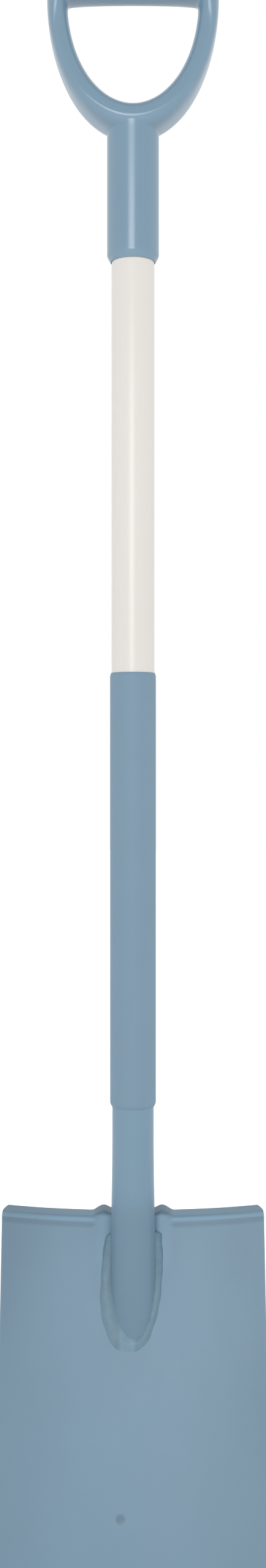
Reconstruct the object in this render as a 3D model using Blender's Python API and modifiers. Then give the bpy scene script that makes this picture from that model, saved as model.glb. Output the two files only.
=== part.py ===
"""A digging spade: moulded D handle, two part tube shaft with a hand sleeve, and a welded pressed blade.

Units are metres and +Z is up. The origin is the middle of the grip bar's underside, where a hook carries
the spade, and the shaft's axis is the Z axis. The blade's hollow front faces -Y.
"""

import math

import bmesh
import bpy
from mathutils import Vector

# Shared by the pieces
FIT_GAP = 0.0003
ROUND_SIDES = 48

# D handle, measured from the grip bar's underside
HANDLE_WIDTH = 0.1232
HANDLE_DEPTH = 0.028
GRIP_HEIGHT = 0.028
GRIP_END_FULLNESS = 2.6
WINDOW_WIDTH = 0.0942
WINDOW_HEIGHT = 0.0742
WINDOW_CORNER_SHARPNESS = 16
ARCH_DROP = 0.0962
ARCH_CENTRE_RISE = 0.0030
ARM_FULLNESS = 3.2
GRIP_FULLNESS = 2.2
RIDGE_DROP = 0.0864
RIDGE_INSET = 0.0006
RIDGE_SLOPE = 0.3
RIDGE_ROUNDING = 0.0008

# Socket below the D
SOCKET_DIAMETER = 0.0372
SOCKET_LENGTH = 0.0945
SOCKET_ROOT = 0.0035
YOKE_PROUD = 0.0006
YOKE_BLEND = 0.002
MOUTH_CHAMFER = 0.0025
MOUTH_CHAMFER_HEIGHT = 0.0047

# Shaft tube, the plug in its top and the handle's screw
SHAFT_DIAMETER = 0.0308
SHAFT_WALL = 0.0012
SHAFT_SHOWN = 0.2945
SHAFT_INSERT = 0.080
PLUG_LENGTH = 0.062
PLUG_HEAD = 0.003
PLUG_CHAMFER = 0.0015
SCREW_HEIGHT = 0.040
SCREW_DIAMETER = 0.004
SCREW_LENGTH = 0.026
SCREW_TIP = 0.004
SCREW_HEAD_DIAMETER = 0.0082
SCREW_HEAD_HEIGHT = 0.0024
SCREW_HEAD_CHAMFER = 0.0006
SCREW_SEAT_DEPTH = 0.0012

# Hand sleeve
SLEEVE_DIAMETER = 0.0329
SLEEVE_LENGTH = 0.3108
SLEEVE_TOP_CHAMFER = 0.0007
SLEEVE_TOP_HEIGHT = 0.0022
SLEEVE_END_CHAMFER = 0.0011
SLEEVE_END_HEIGHT = 0.0026

# Neck tube, its spigot in the shaft tube and the rivets through both
NECK_DIAMETER = 0.0297
NECK_WALL = 0.0015
NECK_SHOWN = 0.0808
NECK_LAP = 0.0838
NECK_WIDENING = 0.0018
NECK_WIDENING_TOP = 0.060
NECK_WIDENING_END = -0.070
JOINT_COVER = 0.045
SPIGOT_LENGTH = 0.110
SPIGOT_CHAMFER = 0.001
RIVET_DIAMETER = 0.005
RIVET_FIRST = 0.030
RIVET_PITCH = 0.050
RIVET_CHAMFER = 0.0006

# Blade
BLADE_WIDTH = 0.1885
BLADE_LENGTH = 0.290
BLADE_THICKNESS = 0.002
BLADE_TILT = math.radians(16)
BLADE_DISH = 0.009
EDGE_BOW = 0.012
EDGE_THINNING = 0.3
CORNER_RADIUS = 0.024

# Treads along the blade's top, the ears that they rise to at the tube, and the tube's seat
TREAD_FLANGE = 0.0095
TREAD_RISE = 0.0034
TREAD_CORNER = 0.0036
ROLL_RADIUS = 0.0026
CREASE_RADIUS = 0.008
CREASE_TURN = math.radians(14)
EAR_OUTER = 0.030
EAR_PEAK = 0.0212
EAR_RISE = 0.0030
EAR_DIP = 0.0020
EAR_UNROLL = math.radians(9)
SEAT_HALF_WIDTH = 0.024
SEAT_DEPTH = 0.0032
SEAT_LENGTH = 0.080

# Weld beads. Each has its width on the plate at some angles round the tube, from its front, in degrees
WELD_LEFT = ((-130, 0.0060), (-95, 0.0063), (-50, 0.0098), (-22, 0.0112))
WELD_RIGHT = ((136, 0.0080), (112, 0.0056), (80, 0.0042), (45, 0.0044), (14, 0.0064))
WELD_TOE = (WELD_LEFT[-1], (0, 0.0082), WELD_RIGHT[-1])
WELD_TUBE_LEG = 0.0015
WELD_TOE_TUBE_LEG = 0.0012
WELD_CREVICE_LEG = 0.0085
WELD_CROWN = 0.0013
WELD_START_LENGTH = 0.0045
WELD_JOIN = 0.00035
WELD_RIPPLE = 0.035
WELD_RIPPLE_LENGTH = 0.015

# Fineness of the lofted surfaces
HANDLE_STATIONS = 52
HANDLE_SECTION_POINTS = 20
BLADE_DOWN_STEPS = 13
BLADE_CORNER_STEPS = 4
CREASE_STEPS = 2
ROLL_STEPS = 6
FLANGE_STEPS = 3
NECK_OVAL_STEPS = 9
WELD_STEP = 4
WELD_FACE_STEPS = 6
BISECTIONS = 40

# Radii and heights that follow from the sizes above
handle_half = HANDLE_WIDTH / 2
socket_radius = SOCKET_DIAMETER / 2
shaft_radius = SHAFT_DIAMETER / 2
shaft_bore = shaft_radius - SHAFT_WALL
sleeve_radius = SLEEVE_DIAMETER / 2
neck_radius = NECK_DIAMETER / 2
spigot_radius = shaft_bore - FIT_GAP
blade_half = BLADE_WIDTH / 2

arch_height = ARCH_DROP + ARCH_CENTRE_RISE
window_middle_z = -WINDOW_HEIGHT * 0.4
shoulder_z = ARCH_CENTRE_RISE - arch_height * math.sqrt(1 - (socket_radius / handle_half) ** 2)
mouth_z = shoulder_z - SOCKET_LENGTH
shaft_top_z = mouth_z + SHAFT_INSERT
sleeve_top_z = mouth_z - SHAFT_SHOWN
sleeve_end_z = sleeve_top_z - SLEEVE_LENGTH
joint_z = sleeve_end_z + JOINT_COVER
tread_z = sleeve_end_z - NECK_SHOWN
screw_z = mouth_z + SCREW_HEIGHT
screw_y = socket_radius - SCREW_SEAT_DEPTH


def clear_scene():
    for old in list(bpy.data.objects):
        bpy.data.objects.remove(old)


def make_collection(name):
    made = bpy.data.collections.new(name)
    bpy.context.scene.collection.children.link(made)
    return made


def make_material(name, colour, roughness, metallic):
    made = bpy.data.materials.new(name)
    made.use_nodes = True
    shader = made.node_tree.nodes["Principled BSDF"]
    shader.inputs["Base Color"].default_value = (*colour, 1)
    shader.inputs["Roughness"].default_value = roughness
    shader.inputs["Metallic"].default_value = metallic
    return made


def smoothstep(low, high, value):
    t = min(max((value - low) / (high - low), 0), 1)
    return t * t * (3 - 2 * t)


def smooth_max(a, b, width):
    """The larger of a and b, rounded over where they are within width of each other."""
    overlap = max(width - abs(a - b), 0) / width
    return max(a, b) + overlap * overlap * width / 4


def signed_power(value, power):
    return math.copysign(abs(value) ** power, value)


def last_inside(inside, low, high):
    """The value between low and high where inside stops being true."""
    for _ in range(BISECTIONS):
        middle = (low + high) / 2
        if inside(middle):
            low = middle
        else:
            high = middle
    return low


class Workshop:
    """The spade's collection, its hidden tools, its finishes and the empties that carry its pieces."""

    def __init__(self):
        self.parts = make_collection("spade")
        self.tools = make_collection("cutters")
        self.tools.hide_render = True
        self.spade_origin = self.empty("spade_origin", None, 0)
        self.blade_origin = self.empty("blade_origin", self.spade_origin, tread_z)
        self.finish = {
            "coated_steel": make_material("coated_steel", (0.227, 0.344, 0.431), 0.45, 0.1),
            "weld": make_material("weld", (0.205, 0.315, 0.4), 0.5, 0.1),
            "white_paint": make_material("white_paint", (0.775, 0.752, 0.716), 0.4, 0.0),
            "sleeve_plastic": make_material("sleeve_plastic", (0.227, 0.34, 0.435), 0.6, 0.0),
            "handle_plastic": make_material("handle_plastic", (0.227, 0.344, 0.431), 0.4, 0.0),
            "plug_plastic": make_material("plug_plastic", (0.02, 0.02, 0.022), 0.5, 0.0),
            "zinc_steel": make_material("zinc_steel", (0.6, 0.6, 0.58), 0.35, 1.0),
        }

    def empty(self, name, parent, height):
        made = bpy.data.objects.new(name, None)
        made.parent = parent
        made.location.z = height
        self.parts.objects.link(made)
        return made

    def part(self, name, mesh, finish, parent=None):
        made = bpy.data.objects.new(name, mesh)
        made.parent = parent or self.spade_origin
        mesh.materials.append(self.finish[finish])
        mesh.shade_smooth()
        mesh.set_sharp_from_angle(angle=math.radians(35))
        self.parts.objects.link(made)
        return made

    def tool(self, name, mesh, parent=None):
        made = bpy.data.objects.new(name, mesh)
        made.parent = parent or self.spade_origin
        made.hide_render = True
        made.display_type = "WIRE"
        self.tools.objects.link(made)
        return made


def add_boolean(target, tool, operation):
    step = target.modifiers.new(tool.name, "BOOLEAN")
    step.operation = operation
    step.solver = "EXACT"
    step.object = tool


def loft_mesh(name, rings, looped=False):
    """A closed mesh through equal rings of points. Its ends get caps, unless it is looped back on itself."""
    made = bmesh.new()
    rows = [[made.verts.new(point) for point in ring] for ring in rings]
    pairs = list(zip(rows, rows[1:]))
    if looped:
        pairs.append((rows[-1], rows[0]))
    for lower, upper in pairs:
        for i in range(len(lower)):
            j = (i + 1) % len(lower)
            made.faces.new((lower[i], lower[j], upper[j], upper[i]))
    if not looped:
        for row in (rows[0], rows[-1]):
            middle = made.verts.new(sum((v.co for v in row), Vector()) / len(row))
            for i in range(len(row)):
                made.faces.new((row[i], row[(i + 1) % len(row)], middle))
    bmesh.ops.recalc_face_normals(made, faces=made.faces)
    mesh = bpy.data.meshes.new(name)
    made.to_mesh(mesh)
    made.free()
    return mesh


def turned(owner, name, profile, height, finish=None):
    """A round piece from a closed profile of (radius, height), down its outer side and up its inner one."""
    made = bmesh.new()
    corners = [made.verts.new((radius, 0, level)) for radius, level in profile]
    if profile[0][0] > 0:
        corners.append(corners[0])
    for start, end in zip(corners, corners[1:]):
        made.edges.new((start, end))
    mesh = bpy.data.meshes.new(name)
    made.to_mesh(mesh)
    made.free()
    piece = owner.part(name, mesh, finish) if finish else owner.tool(name, mesh)
    piece.location.z = height
    screw = piece.modifiers.new("turn", "SCREW")
    screw.steps = ROUND_SIDES
    screw.render_steps = ROUND_SIDES
    screw.use_merge_vertices = True
    screw.merge_threshold = 0.00001
    screw.use_smooth_shade = True
    return piece


def turned_across(owner, name, profile, height, finish=None):
    """A small turned piece laid over: its axis runs from front to back, with its top at the back."""
    piece = turned(owner, name, profile, height, finish)
    piece.rotation_euler.x = -math.pi / 2
    sides = ROUND_SIDES // 2
    piece.modifiers["turn"].steps = sides
    piece.modifiers["turn"].render_steps = sides
    return piece


def pin_profile(radius, top, bottom, chamfer=0.0):
    """A solid round pin's profile between two heights."""
    if not chamfer:
        return [(0, top), (radius, top), (radius, bottom), (0, bottom)]
    narrow = radius - chamfer
    wide = [(radius, top - chamfer), (radius, bottom + chamfer)]
    return [(0, top), (narrow, top), *wide, (narrow, bottom), (0, bottom)]


# D handle


def inside_window(x, z):
    """The hand opening: the arch's inner ellipse under the grip bar's straight edge, with soft corners."""
    across = x / (WINDOW_WIDTH / 2)
    down = (z - ARCH_CENTRE_RISE) / (WINDOW_HEIGHT + ARCH_CENTRE_RISE)
    ellipse = across**2 + down**2
    level = max(z / (WINDOW_HEIGHT / 2) + 1, 0)
    sharp = WINDOW_CORNER_SHARPNESS
    return ellipse**sharp + level**sharp < 1


def inside_outline(x, z):
    """The D's outside: the arch's ellipse below its widest line, and the grip bar's rounded ends above."""
    across = abs(x) / handle_half
    rise = z - ARCH_CENTRE_RISE
    if rise < 0:
        return across**2 + (rise / arch_height) ** 2 < 1
    top = GRIP_HEIGHT - ARCH_CENTRE_RISE
    return across**GRIP_END_FULLNESS + (rise / top) ** GRIP_END_FULLNESS < 1


def half_depth(x, z):
    """The moulding's half depth before its edges are rounded: arms, round yoke front and window ridge."""
    arm = HANDLE_DEPTH / 2
    round_front = math.sqrt(max((socket_radius + YOKE_PROUD) ** 2 - x * x, 0))
    yoke = smooth_max(arm, round_front, YOKE_BLEND)
    depth = arm + (yoke - arm) * smoothstep(ARCH_CENTRE_RISE, -RIDGE_DROP, z)
    ridge_height = RIDGE_DROP + ARCH_CENTRE_RISE
    ratio = math.hypot(x / (handle_half - RIDGE_INSET), (z - ARCH_CENTRE_RISE) / ridge_height)
    within = (1 - ratio) * ridge_height
    fall = (math.hypot(within, RIDGE_ROUNDING) + within) / 2
    return depth - RIDGE_SLOPE * fall * smoothstep(0, -WINDOW_HEIGHT / 2, z)


def handle_section(angle):
    """One section across the D, from the window to the outline, at this angle round the window's middle."""
    way_x = math.cos(angle)
    way_z = math.sin(angle)
    far = HANDLE_WIDTH + ARCH_DROP
    near = last_inside(lambda d: inside_window(d * way_x, window_middle_z + d * way_z), 0, far)
    reach = last_inside(lambda d: inside_outline(d * way_x, window_middle_z + d * way_z), 0, far)
    bar = smoothstep(window_middle_z, 0, window_middle_z + near * way_z)
    fullness = ARM_FULLNESS + (GRIP_FULLNESS - ARM_FULLNESS) * bar
    points = []
    for i in range(HANDLE_SECTION_POINTS):
        turn = 2 * math.pi * (i + 0.5) / HANDLE_SECTION_POINTS
        share = 0.5 - 0.5 * signed_power(math.cos(turn), 2 / fullness)
        distance = near + (reach - near) * share
        x = distance * way_x
        z = window_middle_z + distance * way_z
        y = half_depth(x, z) * signed_power(math.sin(turn), 2 / fullness)
        points.append((x, y, z))
    return points


def handle_stations():
    """Angles round the D: even, but closer where the window's corners turn and where the yoke is round."""
    stations = [2 * math.pi * (i + 0.5) / HANDLE_STATIONS for i in range(HANDLE_STATIONS)]
    corner = math.atan2(-window_middle_z, WINDOW_WIDTH / 2)
    yoke_spread = math.atan2(socket_radius, -window_middle_z - shoulder_z)
    finer = [
        (corner, math.radians(8), 4),
        (math.pi - corner, math.radians(8), 4),
        (math.pi * 3 / 2, yoke_spread, 5),
    ]
    for middle, spread, steps in finer:
        stations = [angle for angle in stations if abs(angle - middle) > spread]
        stations += [middle + spread * i / steps for i in range(-steps, steps + 1)]
    return sorted(stations)


def make_d_handle(owner):
    """The whole moulding: the D, its socket, the bore for the shaft and the screw's seat at the back."""
    sections = [handle_section(angle) for angle in handle_stations()]
    handle = owner.part("d_handle", loft_mesh("d_handle", sections, looped=True), "handle_plastic")
    root = SOCKET_LENGTH + SOCKET_ROOT
    socket_profile = [
        (0, root),
        (socket_radius, root),
        (socket_radius, MOUTH_CHAMFER_HEIGHT),
        (socket_radius - MOUTH_CHAMFER, 0),
        (0, 0),
    ]
    add_boolean(handle, turned(owner, "socket_body", socket_profile, mouth_z), "UNION")
    bore_end = SHAFT_INSERT + PLUG_HEAD + FIT_GAP * 2
    bore_profile = pin_profile(shaft_radius + FIT_GAP, bore_end, -SOCKET_DIAMETER)
    add_boolean(handle, turned(owner, "socket_bore", bore_profile, mouth_z), "DIFFERENCE")
    seat_profile = pin_profile(SCREW_HEAD_DIAMETER / 2 + FIT_GAP, SOCKET_DIAMETER, screw_y)
    add_boolean(handle, turned_across(owner, "screw_seat", seat_profile, screw_z), "DIFFERENCE")
    way_end = screw_y - SCREW_LENGTH
    way_profile = pin_profile(SCREW_DIAMETER / 2 + FIT_GAP, SOCKET_DIAMETER, way_end)
    screw_way = turned_across(owner, "screw_way", way_profile, screw_z)
    add_boolean(handle, screw_way, "DIFFERENCE")
    return screw_way


# Shaft tube with its plug and screw, and the sleeve


def make_shaft_tube(owner, screw_way):
    length = shaft_top_z - joint_z
    profile = [(shaft_radius, length), (shaft_radius, 0), (shaft_bore, 0), (shaft_bore, length)]
    tube = turned(owner, "shaft_tube", profile, joint_z, "white_paint")
    add_boolean(tube, screw_way, "DIFFERENCE")
    return tube


def make_shaft_plug(owner, screw_way):
    """The plug in the shaft's top, with a head on the tube's end and a hole for the screw."""
    plug_radius = shaft_bore - FIT_GAP
    profile = [
        (0, PLUG_HEAD),
        (shaft_radius, PLUG_HEAD),
        (shaft_radius, 0),
        (plug_radius, 0),
        (plug_radius, PLUG_CHAMFER - PLUG_LENGTH),
        (plug_radius - PLUG_CHAMFER, -PLUG_LENGTH),
        (0, -PLUG_LENGTH),
    ]
    plug = turned(owner, "shaft_plug", profile, shaft_top_z + FIT_GAP, "plug_plastic")
    add_boolean(plug, screw_way, "DIFFERENCE")


def make_handle_screw(owner):
    """The screw from the back of the socket: a pan head on its seat and a shank with a point."""
    head = SCREW_HEAD_DIAMETER / 2
    shank = SCREW_DIAMETER / 2
    profile = [
        (0, SCREW_HEAD_HEIGHT),
        (head - SCREW_HEAD_CHAMFER, SCREW_HEAD_HEIGHT),
        (head, SCREW_HEAD_HEIGHT - SCREW_HEAD_CHAMFER),
        (head, 0),
        (shank, 0),
        (shank, SCREW_TIP - SCREW_LENGTH),
        (0, -SCREW_LENGTH),
    ]
    screw = turned_across(owner, "handle_screw", profile, screw_z, "zinc_steel")
    screw.location.y = screw_y + FIT_GAP


def make_sleeve(owner):
    """The hand sleeve: bored for the shaft tube, with a narrower land on the neck tube at its lower end."""
    bore = shaft_radius + FIT_GAP
    land = neck_radius + FIT_GAP
    step = JOINT_COVER - FIT_GAP
    profile = [
        (sleeve_radius - SLEEVE_TOP_CHAMFER, SLEEVE_LENGTH),
        (sleeve_radius, SLEEVE_LENGTH - SLEEVE_TOP_HEIGHT),
        (sleeve_radius, SLEEVE_END_HEIGHT),
        (sleeve_radius - SLEEVE_END_CHAMFER, 0),
        (land, 0),
        (land, step - abs(bore - land)),
        (bore, step),
        (bore, SLEEVE_LENGTH),
    ]
    turned(owner, "sleeve", profile, sleeve_end_z, "sleeve_plastic")


# Plate's faces and neck tube's sides, by height above the treads. Cuts and welds follow them too


def seat_press(x, down):
    """How far the plate is pressed back round the neck tube."""
    across = min(abs(x) / SEAT_HALF_WIDTH, 1)
    return SEAT_DEPTH * math.cos(across * math.pi / 2) ** 2 * (1 - smoothstep(0, SEAT_LENGTH, down))


def plate_bulge(x, down):
    """The plate's middle in front of its base plane, from its dish and the seat."""
    return BLADE_DISH * (x / blade_half) ** 2 - seat_press(x, down)


def neck_half_width(height):
    """The tube is pressed wider on its way down to the blade."""
    return neck_radius + NECK_WIDENING * smoothstep(NECK_WIDENING_TOP, NECK_WIDENING_END, height)


def neck_half_depth(height):
    """Pressing the tube wider makes it shallower, as its girth stays the same."""
    return math.sqrt(2 * neck_radius**2 - neck_half_width(height) ** 2)


def plate_base_y():
    """The base plane's y at the treads, with which the front face meets the tube's front at its tip."""
    tip_y = -neck_half_depth(-NECK_LAP)
    return tip_y + NECK_LAP * math.tan(BLADE_TILT) + BLADE_THICKNESS / 2 / math.cos(BLADE_TILT)


def plate_front_y(x, height, proud=0.0):
    """The y of the plate's front face here, or of a face that much in front of it."""
    slope = math.sin(BLADE_TILT)
    fall = math.cos(BLADE_TILT)
    forward = 0.0
    for _ in range(6):
        down = (forward * slope - height) / fall
        forward = plate_bulge(x, down) + BLADE_THICKNESS / 2 + proud
    return plate_base_y() - down * slope - forward * fall


def neck_surface(angle, height, outward=0.0):
    """A point on the neck tube at this angle from its front, or that far outside it."""
    x = (neck_half_width(height) + outward) * math.sin(angle)
    y = -(neck_half_depth(height) + outward) * math.cos(angle)
    return Vector((x, y, height))


# Neck tube


def round_ring(radius, height):
    angles = [2 * math.pi * i / ROUND_SIDES for i in range(ROUND_SIDES)]
    return [(radius * math.sin(a), -radius * math.cos(a), height) for a in angles]


def oval_rings(outward, bottom):
    """Rings down the neck tube's lower stretch, from where it starts to widen."""
    angles = [2 * math.pi * i / ROUND_SIDES for i in range(ROUND_SIDES)]
    drop = (NECK_WIDENING_TOP - bottom) / NECK_OVAL_STEPS
    heights = [NECK_WIDENING_TOP - drop * i for i in range(NECK_OVAL_STEPS + 1)]
    return [[neck_surface(a, height, outward) for a in angles] for height in heights]


def plate_space_mesh(bottom):
    """What the plate and its fit take from the neck tube: all that is behind the plate's front face."""
    half_width = neck_half_width(0) + NECK_WALL * 2
    across = [half_width * i / 6 for i in range(-6, 7)]
    steps = 12
    top = SEAT_DEPTH / math.tan(BLADE_TILT)
    rings = []
    for i in range(steps + 1):
        height = bottom + (top - bottom) * i / steps
        front = [(x, plate_front_y(x, height, FIT_GAP), height) for x in across]
        rings.append(front + [(half_width, NECK_DIAMETER, height), (-half_width, NECK_DIAMETER, height)])
    return loft_mesh("plate_space", rings)


def make_neck_tube(owner):
    """The neck tube: spigot and shoulder above, oval below, and cut along the plate that it lies on."""
    joint = joint_z - tread_z
    shoulder = joint - FIT_GAP
    step = abs(neck_radius - spigot_radius)
    spigot_top = joint + SPIGOT_LENGTH
    bottom = -NECK_LAP - NECK_DIAMETER / 4
    outer = [
        round_ring(spigot_radius - SPIGOT_CHAMFER, spigot_top),
        round_ring(spigot_radius, spigot_top - SPIGOT_CHAMFER),
        round_ring(spigot_radius, shoulder),
        round_ring(neck_radius, shoulder - step),
    ]
    outer += oval_rings(0, bottom)
    bore = spigot_radius - NECK_WALL
    bore_step = shoulder - NECK_WALL
    inner = [
        round_ring(bore, spigot_top + SPIGOT_CHAMFER),
        round_ring(bore, bore_step),
        round_ring(neck_radius - NECK_WALL, bore_step - step),
    ]
    inner += oval_rings(-NECK_WALL, bottom - NECK_WALL)
    origin = owner.blade_origin
    tube = owner.part("neck_tube", loft_mesh("neck_tube", outer), "coated_steel", origin)
    add_boolean(tube, owner.tool("neck_bore", loft_mesh("neck_bore", inner), origin), "DIFFERENCE")
    plate_space = owner.tool("plate_space", plate_space_mesh(bottom - NECK_WALL * 2), origin)
    add_boolean(tube, plate_space, "DIFFERENCE")
    return tube


def make_joint_rivets(owner, shaft_tube, neck_tube):
    """Two flush rivets from front to back through the shaft tube and the spigot inside it."""
    radius = RIVET_DIAMETER / 2
    reach = math.sqrt(shaft_radius**2 - radius**2)
    for number, place in enumerate(("lower", "upper")):
        height = joint_z + RIVET_FIRST + RIVET_PITCH * number
        profile = pin_profile(radius, reach, -reach, RIVET_CHAMFER)
        turned_across(owner, "joint_rivet_" + place, profile, height, "zinc_steel")
        way_profile = pin_profile(radius + FIT_GAP, SHAFT_DIAMETER, -SHAFT_DIAMETER)
        way = turned_across(owner, "rivet_way_" + place, way_profile, height)
        add_boolean(neck_tube, way, "DIFFERENCE")
        add_boolean(shaft_tube, way, "DIFFERENCE")


# Blade, in its own plane: x across, y back from the base plane and z up it


def tread_walk(crease_turn, roll_turn):
    """Steps up from the plate's top through crease, roll and flange: (up, forward, share of the tread)."""
    legs = [
        (CREASE_RADIUS * CREASE_TURN, crease_turn, CREASE_STEPS),
        (ROLL_RADIUS * roll_turn, -roll_turn, ROLL_STEPS),
        (TREAD_FLANGE, 0.0, FLANGE_STEPS),
    ]
    tread_length = legs[1][0] + legs[2][0]
    up = 0.0
    forward = 0.0
    heading = 0.0
    walked = -legs[0][0]
    steps_taken = []
    for length, turn, steps in legs:
        for _ in range(steps):
            heading += turn / steps / 2
            up += length / steps * math.cos(heading)
            forward += length / steps * math.sin(heading)
            heading += turn / steps / 2
            walked += length / steps
            steps_taken.append((up, forward, max(walked, 0) / tread_length))
    return steps_taken


def tread_height():
    """From the crease's foot up to the level tread's top face."""
    up, forward, _ = tread_walk(CREASE_TURN, CREASE_TURN + math.pi / 2 - BLADE_TILT)[-1]
    return up * math.cos(BLADE_TILT) + forward * math.sin(BLADE_TILT) + BLADE_THICKNESS / 2


def ear_lift(x):
    """How far the ears rise above the treads: up to a peak beside the tube, and down again to the tube."""
    rise = EAR_RISE * smoothstep(EAR_OUTER, EAR_PEAK, x)
    return rise - EAR_DIP * smoothstep(EAR_PEAK, neck_radius, x)


def column_places():
    """Where the half blade's columns of points stand: close together at the seat, the ear and the corner."""
    zones = [
        (0, neck_radius, 5),
        (neck_radius, EAR_OUTER, 7),
        (EAR_OUTER, blade_half - CORNER_RADIUS, 3),
        (blade_half - CORNER_RADIUS, blade_half, 5),
    ]
    places = [0.0]
    for start, end, steps in zones:
        places += [start + (end - start) * (i + 1) / steps for i in range(steps)]
    return places


def squeeze(x, inset):
    """Draws the outermost columns in, so that the blade's side is inset by this much."""
    start = blade_half - CORNER_RADIUS * 1.25
    return x - inset * max(x - start, 0) / (blade_half - start)


def corner_inset(beyond):
    """How far a cutting corner's round draws the side in, this far past its start."""
    return CORNER_RADIUS - math.sqrt(CORNER_RADIUS**2 - min(max(beyond, 0), CORNER_RADIUS) ** 2)


def blade_column(x):
    """The plate's middle surface at x, from the tread's rear lip down to the cutting edge."""
    ear = smoothstep(EAR_OUTER, EAR_PEAK, x)
    crease_turn = CREASE_TURN * (1 - ear)
    roll_turn = crease_turn + math.pi / 2 - BLADE_TILT - EAR_UNROLL * ear
    rise = TREAD_RISE * (x / blade_half) ** 2 + ear_lift(x)
    foot = (tread_height() - rise) / math.cos(BLADE_TILT)
    column = [Vector((x, -plate_bulge(x, foot), -foot))]
    for up, forward, share in tread_walk(crease_turn, roll_turn):
        place = squeeze(x, TREAD_CORNER * share**2)
        column.append(Vector((place, -plate_bulge(place, foot) - forward, up - foot)))
    column.reverse()
    straight_end = BLADE_LENGTH - CORNER_RADIUS
    shares = [(i + 1) / BLADE_DOWN_STEPS for i in range(BLADE_DOWN_STEPS)]
    downs = [foot + (straight_end - foot) * share**1.2 for share in shares]
    for i in range(BLADE_CORNER_STEPS):
        turn = math.pi / 2 * (i + 1) / BLADE_CORNER_STEPS
        downs.append(straight_end + CORNER_RADIUS * math.sin(turn))
    for down in downs:
        place = squeeze(x, corner_inset(down - straight_end))
        low = max(down - straight_end / 2, 0) / (BLADE_LENGTH - straight_end / 2)
        bowed = down - EDGE_BOW * (place / blade_half) ** 2 * low**2
        column.append(Vector((place, -plate_bulge(place, bowed), -bowed)))
    return column


def make_blade(owner):
    """Half of the plate's middle surface, mirrored and given its thickness, thin at the cutting edge."""
    made = bmesh.new()
    columns = [[made.verts.new(point) for point in blade_column(x)] for x in column_places()]
    for left, right in zip(columns, columns[1:]):
        for i in range(len(left) - 1):
            made.faces.new((left[i], left[i + 1], right[i + 1], right[i]))
    mesh = bpy.data.meshes.new("blade")
    made.to_mesh(mesh)
    rows = len(columns[0])
    made.free()
    blade = owner.part("blade", mesh, "coated_steel", owner.blade_origin)
    blade.location.y = plate_base_y()
    blade.rotation_euler.x = -BLADE_TILT
    plate = blade.vertex_groups.new(name="full_thickness")
    plate.add([i for i in range(len(mesh.vertices)) if i % rows < rows - 1], 1.0, "REPLACE")
    mirror = blade.modifiers.new("mirror", "MIRROR")
    mirror.merge_threshold = 0.00001
    shell = blade.modifiers.new("thickness", "SOLIDIFY")
    shell.thickness = BLADE_THICKNESS
    shell.offset = 0
    shell.use_even_offset = True
    shell.vertex_group = plate.name
    shell.thickness_vertex_group = EDGE_THINNING


# Weld beads


def weld_root(angle):
    """Where the tube meets the plate at this angle from the tube's front."""
    height = last_inside(
        lambda h: plate_front_y(neck_surface(angle, h).x, h) > neck_surface(angle, h).y,
        NECK_DIAMETER,
        -NECK_LAP - NECK_WALL,
    )
    return neck_surface(angle, height)


def onto_tube(point):
    """The point moved in or out to stand its fit clear of the neck tube."""
    angle = math.atan2(point.x / neck_half_width(point.z), -point.y / neck_half_depth(point.z))
    return neck_surface(angle, point.z, FIT_GAP)


def onto_plate(point):
    """The point moved along Y to stand its fit clear of the plate's front face."""
    return Vector((point.x, plate_front_y(point.x, point.z, FIT_GAP), point.z))


def clear_of_both(point):
    """The point, moved out where it would be inside the neck tube or behind the plate's face."""
    if point.xy.length < onto_tube(point).xy.length:
        point = onto_tube(point)
    if point.y > onto_plate(point).y:
        point = onto_plate(point)
    return point


def weld_section(angle, plate_leg, scale, shift=0.0):
    """A bead's section: its root, its foot on the plate, its round face, and its side on the tube."""
    root = weld_root(angle)
    from_tube = Vector((
        math.sin(angle) / neck_half_width(root.z), -math.cos(angle) / neck_half_depth(root.z), 0
    )).normalized()
    from_plate = Vector((0, -math.cos(BLADE_TILT), math.sin(BLADE_TILT)))
    root += from_tube.cross(from_plate).normalized() * shift
    along_plate = (from_tube - from_plate * from_tube.dot(from_plate)).normalized()
    along_tube = (from_plate - from_tube * from_tube.dot(from_plate)).normalized()
    outward = (from_tube + from_plate).normalized()
    crevice = smoothstep(math.radians(80), math.radians(140), abs(angle))
    toe = smoothstep(math.radians(70), math.radians(10), abs(angle))
    tube_leg = WELD_TUBE_LEG + (WELD_TOE_TUBE_LEG - WELD_TUBE_LEG) * toe + WELD_CREVICE_LEG * crevice
    foot = onto_plate(root + along_plate * plate_leg * scale)
    top = onto_tube(root + along_tube * tube_leg * scale)
    for _ in range(4):
        root = onto_plate(onto_tube(root))
    section = [root]
    for i in range(WELD_FACE_STEPS + 1):
        share = i / WELD_FACE_STEPS
        crown = WELD_CROWN * scale * math.sin(math.pi * share)
        section.append(clear_of_both(foot.lerp(top, share) + outward * crown))
    section += [onto_tube(top.lerp(root, share)) for share in (1 / 3, 2 / 3)]
    return section


def leg_at(legs, angle):
    """The bead's width on the plate at this angle, between the ones that it is given."""
    for (start, from_leg), (end, to_leg) in zip(legs, legs[1:]):
        if min(start, end) <= angle <= max(start, end):
            return from_leg + (to_leg - from_leg) * smoothstep(0, 1, (angle - start) / (end - start))
    return legs[-1][1]


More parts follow.
